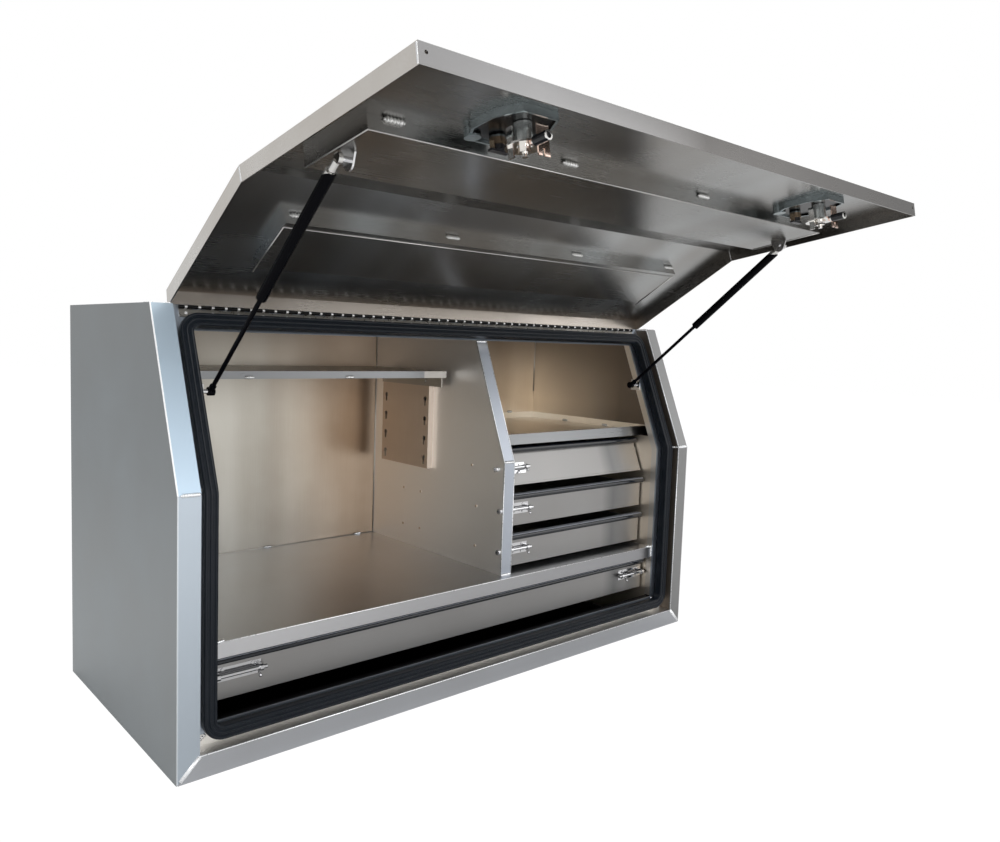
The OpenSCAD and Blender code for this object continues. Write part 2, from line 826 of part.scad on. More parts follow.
// A tower bolt's guide: a foot plate and rolled loops. X runs away from the
// bolt's tip, Y is the bolt's line seen from the drawer front at +Y.
module latch_guide(stand, length) {
    loop_r = bolt_r + 2 * latch_plate_t;
    y_plate = stand - latch_plate_t;
    difference() {
        union() {
            block([0, y_plate, -latch_plate_w / 2], [length, stand, latch_plate_w / 2]);
            for (x = [loop_in, length - loop_l - loop_in]) {
                translate([x, 0, 0]) rotate([0, 90, 0]) cylinder(r = loop_r, h = loop_l, $fn = 24);
                block([x, 0, -loop_r], [x + loop_l, y_plate, loop_r]);
            }
        }
        translate([-over, 0, 0]) rotate([0, 90, 0]) cylinder(r = bolt_r + fit, h = length + 2 * over);
    }
    for (x = [screw_in, length - screw_in], z = [-1, 1] * (latch_plate_w / 2 - bolt_r))
        translate([x, y_plate, z]) rotate([90, 0, 0])
            cylinder(r = screw_head_r, h = screw_head_t, $fn = 16);
}

// The bolt itself, with the knob by which it is drawn
module latch_bolt(length) {
    translate([-bolt_tip, 0, 0]) rotate([0, 90, 0]) cylinder(r = bolt_r, h = length + bolt_tip + bolt_tail);
    translate([length - knob_in, 0, 0]) rotate([130, 0, 0]) {
        cylinder(r = knob_r, h = knob_l, $fn = 24);
        translate([0, 0, knob_l]) sphere(r = 1.5 * knob_r, $fn = 16);
    }
}

module at_small_latch(i) {
    translate([front_x(i)[0] + latch_set, small_latch_y(i), small_latch_z(i)])
        rotate([i == 1 ? -tilt : 0, 0, 0]) children();
}

module at_large_latch(s) {
    translate([s < 0 ? front_x(4)[0] + latch_set : front_x(4)[1] - latch_set, large_latch_y, large_latch_z])
        mirror([s < 0 ? 0 : 1, 0, 0]) children();
}

module drawer_fittings(i) {
    color(bright) {
        at_slides(i) slide_inner(drawer_start(i));
        if (i < 4) at_small_latch(i) latch_guide(latch_stand, latch_l);
        if (i == 4) for (s = [-1, 1]) at_large_latch(s) latch_guide(large_latch_stand, large_latch_l);
    }
}

// Bushes on the divider that the small drawers' bolts enter
keeper_wall = 2;
keeper_r = bolt_r + keeper_wall;
keeper_l = 5;

module keeper() {
    rotate([0, 90, 0]) difference() {
        cylinder(r = keeper_r, h = keeper_l, $fn = 24);
        translate([0, 0, -over]) cylinder(r = bolt_r + skim, h = keeper_l + 2 * over);
    }
}

module bolt_keepers() {
    color(bright) for (i = [1 : 3])
        translate([divider_left - keeper_l, small_latch_y(i), small_latch_z(i)]) keeper();
}

// Lid, drawn closed and then swung open about the hinge pin

module swung() {
    at_pin() rotate([-lid_open, 0, 0]) translate([0, -pin_y, -pin_z]) children();
}

drain_r = 2.5;
drain_in = 11; // from the lid's side edge
drain_back = 15; // behind the lid's outer face
lid_half = half_w - flange_w - lid_gap;
lid_low = flange_w + lid_gap;
skin_in = lid_inset + sheet;
rim_v = lid_inset + rim_d;
return_top = pin_z + knuckle_r - leaf_t;

module lid_panel() {
    color(mill) swung() difference() {
        strip(-lid_half, lid_half, lid_inset, rim_v, lid_low, return_top);
        strip(-lid_half + sheet, lid_half - sheet, skin_in, rim_v + over,
            lid_low + sheet, return_top - sheet);
        block([-box_w, pin_y - knuckle_clear, pin_z - 2 * knuckle_clear], [box_w, rear, box_h + over]);
        for (s = [-1, 1])
            at_lock(s) into_lid(-over, sheet + over) dish_figure(0);
        both_sides() translate([lid_half - drain_in, front + drain_back, lid_low - over])
            cylinder(r = drain_r, h = sheet + 2 * over);
    }
}

// Locks. Both are the same part. Depths count from the lid's outer face, and X
// and Z from the spindle. They are given with the lid closed.
lock_z = knee_h - lock_drop;
dish_rise = 21; // how far the dish's middle lies over the spindle
dish_cut_x = 20;
dish_cut_z = 34;
dish_t = 2;
dish_wall = 3;
dish_rim_w = 7;
dish_rim_t = 1.5;
dish_d = 14.5; // depth to the edge of the dish's wall
recess_d = 9; // depth of the hand recess
spindle_r = 6;
hub_r = 13;
plate_d = 43; // depth of the turning plate
plate_t = 2.5;
barrel_r = 9;
barrel_d = 33;
barrel_boss_d = 26;
lug_r = 12;
lug_x = -33;
lug_z = 66;
lug_d = 16;

module at_lock(s) {
    translate([s * (half_w - lock_x), front + lid_inset, lock_z]) children();
}

// Draws a figure of X and Z from depth d0 to d1 behind the lid's outer face
module into_lid(d0, d1) {
    translate([0, d1, 0]) rotate([90, 0, 0]) linear_extrude(d1 - d0) children();
}

// Outline of the dish, an octagon larger than the hole in the lid by grow
module dish_figure(grow) {
    x = dish_w / 2 + grow;
    z = dish_h / 2 + grow;
    a = x - dish_cut_x;
    b = z - dish_cut_z;
    translate([0, dish_rise])
        polygon([[-x, -b], [-a, -z], [a, -z], [x, -b], [x, b], [a, z], [-a, z], [-x, b]]);
}

// The cast dish let into the lid. Its back carries the spindle's hub, the key
// barrel's boss with two spring strips, and a lug at one corner.
module lock_dish(s) {
    strip_t = 1.2;
    strip_w = 9;
    strip_x = barrel_r + dish_t + skim;
    color(cast) at_lock(s) difference() {
        union() {
            difference() {
                union() {
                    into_lid(-dish_rim_t, 0) dish_figure(dish_rim_w);
                    into_lid(-dish_rim_t, dish_d) dish_figure(-skim);
                }
                into_lid(-dish_rim_t - over, dish_d + over) dish_figure(-skim - dish_wall);
            }
            into_lid(recess_d, recess_d + dish_t) dish_figure(-skim - dish_wall / 2);
            into_lid(recess_d, plate_d - skim) circle(r = hub_r);
            into_lid(recess_d, barrel_boss_d) translate([0, barrel_up]) circle(r = barrel_r + dish_t);
            into_lid(sheet + skim, lug_d) translate([lug_x, lug_z]) circle(r = lug_r);
            for (x = [-strip_x - strip_t, strip_x])
                into_lid(recess_d, barrel_d) translate([x, barrel_up - strip_w / 2])
                    square([strip_t, strip_w]);
        }
        into_lid(0, plate_d) circle(r = spindle_r + fit);
        into_lid(0, barrel_d) translate([0, barrel_up]) circle(r = barrel_r + fit);
        into_lid(-over, recess_d) dish_figure(-skim - dish_wall);
    }
}

disc_r = 27;
leg_d = 18; // depth at which the bracket's legs start
leg_end = 62;
leg_t = 2.5;
leg_x = -20;
leg_low = 2;
leg_w = 10;
side_z = -24.5;
side_x = 2;
side_w = 22;
notch_x = 9;
notch_w = 5;
notch_d = 10;
roller_x = -8;
roller_d = 47;
roller_r = 7;
roller_l = 25;
roller_bore = 4.5;
roller_lip = 3;
washer_r = 11;
washer_t = 1.5;
nut_r = 9;
nut_t = 6;
stud_end = 59;
grip_l = 48;
grip_w = 12;
grip_t = 5;
grip_d = 2;

// The part of a lock that turns: T handle, spindle, round plate with its bent
// legs, washer, nut, and the sleeved roller that hooks behind the sill
module lock_cam(s) {
    plate_end = plate_d + plate_t;
    color(zinc) at_lock(s) {
        into_lid(grip_d, grip_d + grip_t) {
            square([grip_l, grip_w], center = true);
            for (x = [-grip_l, grip_l] / 2)
                translate([x, 0]) circle(r = grip_w / 2);
        }
        into_lid(grip_d, recess_d - skim) circle(r = spindle_r + dish_t);
        into_lid(recess_d - over, plate_d + over) circle(r = spindle_r);
        into_lid(plate_d, plate_end) circle(r = disc_r);
        into_lid(leg_d, leg_end) translate([leg_x, leg_low]) square([leg_t, leg_w]);
        difference() {
            into_lid(leg_d, leg_end) translate([side_x, side_z]) square([side_w, leg_t]);
            into_lid(leg_end - notch_d, leg_end + over) translate([notch_x, side_z - over])
                square([notch_w, leg_t + 2 * over]);
        }
        into_lid(plate_end, plate_end + washer_t) circle(r = washer_r);
        into_lid(plate_end + washer_t, plate_end + washer_t + nut_t) circle(r = nut_r, $fn = 6);
        into_lid(plate_end, stud_end) circle(r = stud_r);
        translate([roller_x, roller_d, -roller_reach]) difference() {
            union() {
                cylinder(r = roller_r, h = roller_l);
                cylinder(r = roller_bore, h = roller_reach + side_z + leg_t);
            }
            translate([0, 0, -over]) cylinder(r = roller_bore, h = roller_lip + over);
        }
    }
}

lever_l = 34;
lever_w = 9;
lever_t = 3.2;

// The key's barrel in the dish, with the lever on its inner end
module key_barrel(s) {
    color(bright) at_lock(s) translate([0, 0, barrel_up]) {
        into_lid(grip_d + over, barrel_d) circle(r = barrel_r);
        into_lid(barrel_d, barrel_d + lever_t) square([lever_l, lever_w], center = true);
    }
}

// A welded stiffening pan on the inside of the lid. Its back is open to the
// lid. Each is given by its distances from the side panel's outer face and, up
// or down from the knee, by its near and far edges.
pan_t = 2;
front_pan_x = [98, 1302];
front_pan_s = [97, 262];
rear_pan_x = [155, 1222];
rear_pan_s = [88, 218];
pan_back = skin_in + pan_d - pan_t / 4;
pan_face = front + pan_back;

module pan(x0, x1, s0, s1) {
    difference() {
        block([x0, skin_in, s0], [x1, pan_back, s1]);
        block([x0 + pan_t, skin_in - over, s0 + pan_t], [x1 - pan_t, pan_back - pan_t, s1 - pan_t]);
    }
}

module front_stiffener() {
    color(mill) swung() translate([-half_w, front, knee_h])
        pan(front_pan_x[0], front_pan_x[1], -front_pan_s[1], -front_pan_s[0]);
}

module rear_stiffener() {
    color(mill) swung() on_lean() translate([-half_w, 0, 0])
        pan(rear_pan_x[0], rear_pan_x[1], rear_pan_s[0], rear_pan_s[1]);
}

// The lid's leaf lies on its top return and hangs from the odd knuckles
module lid_hinge_leaf() {
    color(bright) swung() at_pin() difference() {
        union() {
            block([-hinge_half, -leaf_w, knuckle_r - leaf_t], [hinge_half, -knuckle_clear, knuckle_r]);
            for (i = [1 : 2 : knuckles - 1]) {
                x = -hinge_half + i * knuckle_l;
                block([x + knuckle_gap / 2, -knuckle_clear, knuckle_r - leaf_t],
                    [x + knuckle_l - knuckle_gap / 2, 0, knuckle_r]);
                knuckle(i);
            }
        }
        pin_bore();
    }
}

module lid_rivets() {
    color(bright) swung() for (i = [1 : 2 : knuckles - 1])
        translate([knuckle_mid(i), pin_y - leaf_w * lid_rivet_share, pin_z + knuckle_r])
            scale([1, 1, 1 / 2]) rivet();
}

// Gas struts. Each is drawn in its open position between its two ball joints.
jamb_ball_back = 120; // behind the front plane
jamb_ball_z = 650;
lid_ball_back = 38;
lid_ball_z = 312;
jamb_ball = [half_w - strut_x, front + jamb_ball_back, jamb_ball_z];
lid_ball_closed = [half_w - strut_x, front + lid_ball_back, lid_ball_z];
function swing_pt(p) = [p[0],
    pin_y + (p[1] - pin_y) * cos(lid_open) + (p[2] - pin_z) * sin(lid_open),
    pin_z - (p[1] - pin_y) * sin(lid_open) + (p[2] - pin_z) * cos(lid_open)];
lid_ball = swing_pt(lid_ball_closed);
strut_len = norm(lid_ball - jamb_ball);
strut_shut = norm(lid_ball_closed - jamb_ball);
strut_dir = atan2(lid_ball[1] - jamb_ball[1], lid_ball[2] - jamb_ball[2]);
ball_r = 5;
stud_r = 4;
socket_wall = 3;
socket_cap = 1.3;
socket_neck = 16;
eye_l = 7;
eye_neck = 24;
neck_wall = 2;
rod_end = 34; // how far the rod stays from the lid's ball when the strut is shut
cylinder_end = 4; // thickness of the cylinder's closed end
foot_w = 28;
plate_thick = 3;
plate_in = 18; // from the ball to the far face of the lid's bracket plate
plate_r = 12;
plate_rise = 4;

// Frame along a strut: Z runs from the jamb's ball to the lid's
module at_strut() {
    translate(jamb_ball) rotate([-strut_dir, 0, 0]) children();
}

// Ball socket with its neck, open towards +X
module socket(neck) {
    back = ball_r + skim;
    difference() {
        union() {
            translate([-back - socket_cap, 0, 0]) rotate([0, 90, 0])
                cylinder(r = ball_r + socket_wall, h = 2 * ball_r + socket_cap);
            cylinder(r = rod_r + neck_wall, h = neck);
        }
        translate([-back, 0, 0]) rotate([0, 90, 0]) cylinder(r = ball_r + fit, h = 3 * ball_r);
    }
}

module strut_rod() {
    color(black) at_strut() {
        socket(socket_neck);
        translate([0, 0, socket_neck]) cylinder(r = rod_r, h = strut_shut - socket_neck - rod_end);
    }
}

module strut_cylinder() {
    low = strut_len - eye_neck - strut_l;
    color(black) at_strut() {
        difference() {
            translate([0, 0, low]) cylinder(r = strut_r, h = strut_l);
            translate([0, 0, low - over]) cylinder(r = rod_r + fit, h = strut_l - cylinder_end + over);
        }
        translate([0, 0, strut_len]) mirror([0, 0, 1]) {
            rotate([0, 90, 0]) cylinder(r = ball_r + socket_wall, h = eye_l, center = true);
            translate([0, 0, ball_r]) cylinder(r = rod_r + neck_wall, h = eye_neck - ball_r);
        }
    }
}

module strut_rod_right() { strut_rod(); }
module strut_rod_left() { mirror([1, 0, 0]) strut_rod(); }
module strut_cylinder_right() { strut_cylinder(); }
module strut_cylinder_left() { mirror([1, 0, 0]) strut_cylinder(); }

// Brackets with ball studs on the jambs
module strut_brackets() {
    reach = strut_x - jamb_w;
    color(bright) both_sides() translate(jamb_ball) {
        rotate([0, 90, 0]) rotate_extrude() {
            intersection() {
                circle(r = ball_r);
                translate([0, -ball_r]) square([ball_r, 2 * ball_r]);
            }
            square([stud_r, reach]);
        }
        translate([reach - sheet, -foot_w / 2, -foot_w / 2]) cube([sheet, foot_w, foot_w]);
    }
}

// Brackets on the lid, inboard of the struts
module lid_strut_brackets() {
    to_pan = pan_face - lid_ball_closed[1];
    color(bright) swung() both_sides() translate(lid_ball_closed) {
        translate([-plate_in, 0, 0]) difference() {
            hull() {
                translate([0, plate_rise, 0]) rotate([0, 90, 0])
                    cylinder(r = plate_r, h = plate_thick, $fn = 32);
                translate([0, to_pan, -foot_w / 2 - plate_rise])
                    cube([plate_thick, plate_rise, foot_w + 2 * plate_rise]);
            }
            translate([-over, 0, 0]) rotate([0, 90, 0]) cylinder(r = stud_r, h = plate_thick + 2 * over);
        }
        translate([-plate_in - plate_thick, 0, 0]) rotate([0, 90, 0])
            cylinder(r = stud_r, h = plate_in + plate_thick - eye_l / 2 - skim);
    }
}

side_panel_left();
side_panel_right();
back_panel();
top_panel();
base_pan();
sill();
jamb_left();
jamb_right();
door_seal();
compartment_floor();
divider();
upper_shelf();
runner_panels();
keyhole_plates();
adjustable_shelf();
body_hinge_leaf();
hinge_pin();
body_rivets();
strut_brackets();
slide_rails();
slide_spacers();
bolt_keepers();
lid_panel();
front_stiffener();
rear_stiffener();
lid_hinge_leaf();
lid_rivets();
lid_strut_brackets();
swung() lock_dish(-1);  // lock_dish_left
swung() lock_dish(1);  // lock_dish_right
swung() lock_cam(-1);  // lock_cam_left
swung() lock_cam(1);  // lock_cam_right
swung() key_barrel(-1);  // key_barrel_left
swung() key_barrel(1);  // key_barrel_right
strut_rod_left();
strut_rod_right();
strut_cylinder_left();
strut_cylinder_right();
drawer_tray(1);  // drawer_1_tray
drawer_tray(2);  // drawer_2_tray
drawer_tray(3);  // drawer_3_tray
drawer_tray(4);  // drawer_4_tray
drawer_trim(1);  // drawer_1_trim
drawer_trim(2);  // drawer_2_trim
drawer_trim(3);  // drawer_3_trim
drawer_trim(4);  // drawer_4_trim
drawer_fittings(1);  // drawer_1_fittings
drawer_fittings(2);  // drawer_2_fittings
drawer_fittings(3);  // drawer_3_fittings
drawer_fittings(4);  // drawer_4_fittings
slide_middles(1);  // slide_middle_1
slide_middles(2);  // slide_middle_2
slide_middles(3);  // slide_middle_3
slide_middles(4);  // slide_middle_4
color(bright) at_small_latch(1) latch_bolt(latch_l);  // latch_bolt_1
color(bright) at_small_latch(2) latch_bolt(latch_l);  // latch_bolt_2
color(bright) at_small_latch(3) latch_bolt(latch_l);  // latch_bolt_3
color(bright) at_large_latch(-1) latch_bolt(large_latch_l);  // latch_bolt_left
color(bright) at_large_latch(1) latch_bolt(large_latch_l);  // latch_bolt_right
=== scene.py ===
import json
import math

import bmesh
import bpy
from mathutils import Matrix, Vector


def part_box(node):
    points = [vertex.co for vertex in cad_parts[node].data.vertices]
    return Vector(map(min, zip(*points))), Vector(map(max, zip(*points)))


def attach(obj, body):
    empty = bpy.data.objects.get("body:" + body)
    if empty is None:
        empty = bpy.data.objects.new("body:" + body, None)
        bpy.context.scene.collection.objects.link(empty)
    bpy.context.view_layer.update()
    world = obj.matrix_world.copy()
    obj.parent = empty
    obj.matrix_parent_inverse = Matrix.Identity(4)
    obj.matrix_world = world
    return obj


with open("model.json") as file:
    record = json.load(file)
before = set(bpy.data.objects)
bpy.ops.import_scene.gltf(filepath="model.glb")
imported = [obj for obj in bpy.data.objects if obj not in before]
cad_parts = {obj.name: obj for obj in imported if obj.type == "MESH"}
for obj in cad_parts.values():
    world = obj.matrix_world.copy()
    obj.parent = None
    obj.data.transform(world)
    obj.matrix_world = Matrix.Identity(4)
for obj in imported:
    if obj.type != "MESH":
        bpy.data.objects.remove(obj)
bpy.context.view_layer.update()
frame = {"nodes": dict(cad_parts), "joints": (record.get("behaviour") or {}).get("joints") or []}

# Side panels: 2.5 mm mill-finish aluminium, folded round the front into a
# 40 mm flange. The rolling marks run up the sheet, and handling has left it
# dull in places.


class Value:
    """A shader socket that takes part in sums as a number does. A value that
    is only 0 or 1 is a mask, and masks are joined by & and |."""

    def __init__(self, socket):
        self.socket = socket

    def _sum(self, operation, left, right):
        node = self.socket.node.id_data.nodes.new("ShaderNodeMath")
        node.operation = operation
        for socket, term in zip(node.inputs, (left, right)):
            plug(socket, term)
        return Value(node.outputs[0])

    def __add__(self, other):
        return self._sum("ADD", self, other)

    def __radd__(self, other):
        return self._sum("ADD", other, self)

    def __sub__(self, other):
        return self._sum("SUBTRACT", self, other)

    def __rsub__(self, other):
        return self._sum("SUBTRACT", other, self)

    def __mul__(self, other):
        return self._sum("MULTIPLY", self, other)

    def __rmul__(self, other):
        return self._sum("MULTIPLY", other, self)

    def __gt__(self, other):
        return self._sum("GREATER_THAN", self, other)

    def __lt__(self, other):
        return self._sum("LESS_THAN", self, other)

    def __and__(self, other):
        return self._sum("MULTIPLY", self, other)

    def __or__(self, other):
        return self._sum("MAXIMUM", self, other)

    def __abs__(self):
        return self._sum("ABSOLUTE", self, 0.0)

    def fraction(self):
        return self._sum("FRACT", self, 0.0)

    def at_least(self, other):
        return self._sum("MAXIMUM", self, other)

    def at_most(self, other):
        return self._sum("MINIMUM", self, other)

    def between(self, low, high):
        return (self > low) & (self < high)

    def rise(self, start, slope):
        """0 up to the start, and from there up to 1 by the slope."""
        return ((self - start) * slope).at_least(0.0).at_most(1.0)


def plug(socket, term):
    """Links a value to a socket, or sets a number, a vector or a colour."""
    if isinstance(term, Value):
        socket.node.id_data.links.new(term.socket, socket)
    elif socket.type == "RGBA":
        socket.default_value = (*term, 1)
    else:
        socket.default_value = term


class Tree:
    """The nodes of one material, or of the world."""

    def __init__(self, owner):
        owner.use_nodes = True
        self.nodes = owner.node_tree.nodes

    def node(self, kind, settings=None, output=0, sockets=None, **terms):
        """A new node. Its settings come first, and then its sockets, by
        number where two have the same name, and otherwise by name."""
        node = self.nodes.new("ShaderNode" + kind)
        for name, value in (settings or {}).items():
            setattr(node, name, value)
        for number, term in (sockets or {}).items():
            plug(node.inputs[number], term)
        for name, term in terms.items():
            plug(node.inputs[name.replace("_", " ")], term)
        return Value(node.outputs[output])


class Finish(Tree):
    """One material, built round its surface shader."""

    def __init__(self, name, colour, metallic, roughness, **fixed):
        self.material = bpy.data.materials.new(name)
        super().__init__(self.material)
        self.surface = self.nodes["Principled BSDF"]
        self.set(Base_Color=colour, Metallic=metallic, Roughness=roughness, **fixed)

    def set(self, **terms):
        for name, term in terms.items():
            plug(self.surface.inputs[name.replace("_", " ")], term)

    def grain(self, scale, detail=3.0, stretch=(1, 1, 1)):
        """Noise over the object, drawn out where stretch is small."""
        place = self.node("TexCoord", output="Object")
        place = self.node("Mapping", Vector=place, Scale=stretch)
        return self.node("TexNoise", Vector=place, Scale=scale, Detail=detail)

    def axes(self, turn=0.0, shift=(0, 0, 0)):
        """The object's own X, Y and Z, turned about X and shifted."""
        place = self.node("TexCoord", output="Object")
        place = self.node("Mapping", Vector=place, Rotation=(turn, 0, 0), Location=shift)
        split = self.node("SeparateXYZ", Vector=place).socket.node
        return [Value(socket) for socket in split.outputs]

    def blend(self, factor, low, high):
        """A colour that runs from low to high with the factor."""
        return self.node("Mix", {"data_type": "RGBA"}, 2, {0: factor, 6: low, 7: high})

    def tone(self, colour):
        """The colour given, with the sheet's shade over it, which is its random tone
        and any painted reflection, warmer where it is dark and cooler where it is bright."""
        swing = [self.contrast * share for share in (0.85, 1.0, 1.15)]
        low = [part * (1 - change) for part, change in zip(colour, swing)]
        high = [part * (1 + change) for part, change in zip(colour, swing)]
        return self.blend(self.shade, low, high)

    def bump(self, height, strength, distance):
        self.set(Normal=self.node("Bump", Height=height, Strength=strength, Distance=distance))


def sheet_finish(name, colour, roughness, along, contrast=0.08, blotch=0.05, reflection_bands=0.0):
    """Mill-finish sheet with rolling marks along the axis given, and with
    broad soft stripes of painted reflection across X, as strong as reflection_bands."""
    finish = Finish(name, colour, 1.0, roughness)
    drawn = [0.02 if axis == along else 1.0 for axis in "XYZ"]
    marks = finish.grain(420.0, 4.0, drawn)
    cloud = finish.grain(5.0, 3.0)
    reflection_wave = finish.grain(7.0, 1.0, (1.0, 0.06, 0.06))
    # The wave adds soft stripes of painted reflection across X.
    finish.shade = marks * 0.2 + cloud * 0.8 + (reflection_wave - 0.5) * (3 * reflection_bands)
    finish.contrast = contrast
    finish.dull = (marks - 0.5) * 0.05 + (cloud - 0.5) * (2 * blotch) + roughness
    finish.set(Base_Color=finish.tone(colour), Roughness=finish.dull)
    finish.bump(marks, 0.02, 0.0001)
    return finish


def dress(finish, *nodes):
    for name in nodes:
        mesh = frame["nodes"][name].data
        mesh.materials.clear()
        mesh.materials.append(finish.material)


side_low, side_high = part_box("side_panel_right")
half_w, front_y, rear_y, body_h = side_high.x, side_low.y, side_high.y, side_high.z
knee_h = 0.489
lean = 0.127
tilt = math.atan(lean / (body_h - knee_h))


def knee_at(depth):
    """Height of the knee in the bent front moved in by a depth."""
    return knee_h - depth * math.tan(tilt / 2)


def behind(y, z, depth):
    """How far a point lies behind the bent front moved in by a depth."""
    return y - (front_y + depth) - ((z - knee_at(depth)) * math.tan(tilt)).at_least(0.0)


skin = 0.0003
face_depth = 0.004
fold_w, fold_depth = 0.0022, 0.0018
outside_grey, fold_bright = (0.30, 0.32, 0.33), (0.95, 0.96, 0.97)
# The flanges are painted by side and height: the left one pale blue and brightest just above the knee, a
# painted reflection, and the right one darker grey, painted shade.
left_flange_low, left_flange_knee = (0.42, 0.47, 0.52), (0.60, 0.74, 0.87)
left_flange_top, left_inside = (0.40, 0.48, 0.55), (0.84, 0.81, 0.77)
right_flange_low, right_flange_lean = (0.25, 0.25, 0.25), (0.29, 0.29, 0.29)
# Inside, the left face is painted pale and warm as painted light, and the right face brown as painted shade,
# with a painted pool of light towards the back and below the top.
right_inside_brown, right_inside_lit = (0.25, 0.21, 0.175), (0.96, 0.84, 0.68)

side_sheet = sheet_finish("side_sheet", outside_grey, 0.48, "Z", contrast=0.20, blotch=0.08)
x, y, z = side_sheet.axes()
leans, on_right = z > knee_h, x > 0.0
left_flange = side_sheet.blend(z.rise(knee_h, 2.5), left_flange_knee, left_flange_top)
left_flange = side_sheet.blend(leans, left_flange_low, left_flange)
right_flange = side_sheet.blend(leans, right_flange_low, right_flange_lean)
flange = side_sheet.blend(on_right, left_flange, right_flange)
lit = y.rise(-0.06, 3.0) * (1.0 - z.rise(0.58, 4.2))
right_inside = side_sheet.blend(lit, right_inside_brown, right_inside_lit)
inside = side_sheet.blend(on_right, side_sheet.tone(left_inside), right_inside)
colour = side_sheet.blend(behind(y, z, 0.0) < face_depth, inside, flange)
outside = (abs(x) > half_w - skin) | (y > rear_y - skin)
colour = side_sheet.blend(outside, colour, side_sheet.tone(outside_grey))
# A painted highlight runs along the folded front edges, stronger above the knee.
on_fold = (abs(x) > half_w - fold_w) & (behind(y, z, 0.0) < fold_depth)
fold_highlight = on_fold * (leans * 0.7 + 0.3)
side_sheet.set(Base_Color=side_sheet.blend(fold_highlight, colour, fold_bright), Metallic=1.0 - fold_highlight * 0.6)
dress(side_sheet, "side_panel_left", "side_panel_right")

# Floor pan, sill, jambs and top: the same sheet, folded into the channel that
# takes the lid's rim, and welded to the side panels and to each other.

flange_w = 0.040
channel_d = 0.035
jamb_w = 0.084
sill_h = 0.076
low_channel_top = 0.060
floor_pan_top = 0.0785
channel_grey, low_channel_pale, face_grey = (0.44, 0.49, 0.56), (0.80, 0.78, 0.75), (0.43, 0.44, 0.46)
lip_warm, unlit = (0.88, 0.82, 0.74), (0.02, 0.02, 0.022)

body_sheet = sheet_finish("body_sheet", channel_grey, 0.40, "X")
x, y, z = body_sheet.axes()
# This one sheet is painted by place as painted light: blue-grey in the channels, pale in the channel low
# down, grey on the front face, warm and bright behind the channel, and black there below the floor pan's
# top, painted shade.
pale = body_sheet.tone(low_channel_pale)
colour = body_sheet.blend(z < low_channel_top, body_sheet.tone(channel_grey), pale)
colour = body_sheet.blend(behind(y, z, 0.0) < face_depth, colour, body_sheet.tone(face_grey))
past_channel = behind(y, z, channel_d) > face_depth
colour = body_sheet.blend(past_channel & z.between(2 * skin, body_h - 2 * skin), colour, lip_warm)
body_sheet.set(Base_Color=body_sheet.blend(past_channel & (z < floor_pan_top), colour, unlit))
dress(body_sheet, "top_panel", "base_pan", "sill", "jamb_left", "jamb_right")

# Back panel: one flat sheet, welded in all round. Inside, its colour is
# painted light and shade: browner towards the middle, brighter and warmer
# right of the divider, darker towards the top, and black below the
# compartment floor, with soft stripes of painted reflection.

divider_x = 0.083
compartment_low = 0.2
back_left, back_middle, back_right = (0.41, 0.38, 0.33), (0.46, 0.36, 0.27), (0.90, 0.80, 0.68)
back_high = (0.17, 0.13, 0.10)

inner_sheet = sheet_finish("inner_sheet", back_left, 0.32, "Z", contrast=0.30, blotch=0.08, reflection_bands=0.8)
x, y, z = inner_sheet.axes()
colour = inner_sheet.blend(x.rise(-0.25, 4.0), inner_sheet.tone(back_left), inner_sheet.tone(back_middle))
colour = inner_sheet.blend(x > divider_x, colour, inner_sheet.tone(back_right))
colour = inner_sheet.blend(z.rise(0.55, 2.6) * 0.9, colour, back_high)
colour = inner_sheet.blend(z < compartment_low, colour, unlit)
colour = inner_sheet.blend(y > rear_y - skin, colour, inner_sheet.tone(outside_grey))
inner_sheet.set(Base_Color=colour)
dress(inner_sheet, "back_panel")

# Welds of the frame: rippled beads on the flange's joints, across it at the
# knee, at its feet and its top, and in the corners of the channel behind it.
# The mitres at the feet are dressed smooth.

BEAD_SIDES = 8
RINGS_PER_RIPPLE = 6


def weld_finish(name, colour, roughness):
    finish = Finish(name, colour, 0.9, roughness)
    finish.bump(finish.grain(450.0), 0.5, 0.0010)
    return finish


def front_at(depth, height):
    """Y of the bent front, moved inward by a depth."""
    return front_y + depth + max(0.0, height - knee_at(depth)) * math.tan(tilt)


def mirrored(*runs):
    """The runs given for the right side, on the left side as well."""
    return [[(hand * x, y, z) for x, y, z in run] for hand in (-1, 1) for run in runs]


def chain(*points):
    """Runs from each point to the next."""
    return list(zip(points, points[1:]))


def add_bead(bm, start, end, width, rippled):
    """A weld from start to end, with rounded ends, or a plain round edge."""
    start, end = Vector(start), Vector(end)
    length = (end - start).length
    along = (end - start) / length
    side = along.orthogonal().normalized()
    other = along.cross(side)
    pitch = width * 0.55
    rings = max(8, int(length / pitch * RINGS_PER_RIPPLE)) if rippled else 1
    last = None
    for step in range(rings + 1):
        share = step / rings
        radius = width / 2
        if rippled:
            ripple = 0.56 + 0.44 * abs(math.cos(math.pi * share * length / pitch))
            to_end = min(share, 1 - share) * length
            radius *= ripple * min(1.0, math.sqrt(max(0.02, to_end / (width / 2))))
        centre = start + along * (share * length)
        ring = []
        for corner in range(BEAD_SIDES):
            angle = 2 * math.pi * corner / BEAD_SIDES
            ring.append(bm.verts.new(centre + (side * math.cos(angle) + other * math.sin(angle)) * radius))
        if last:
            for corner in range(BEAD_SIDES):
                bm.faces.new((last[corner - 1], last[corner], ring[corner], ring[corner - 1]))
        else:
            bm.faces.new(ring[::-1])
        last = ring
    bm.faces.new(last)


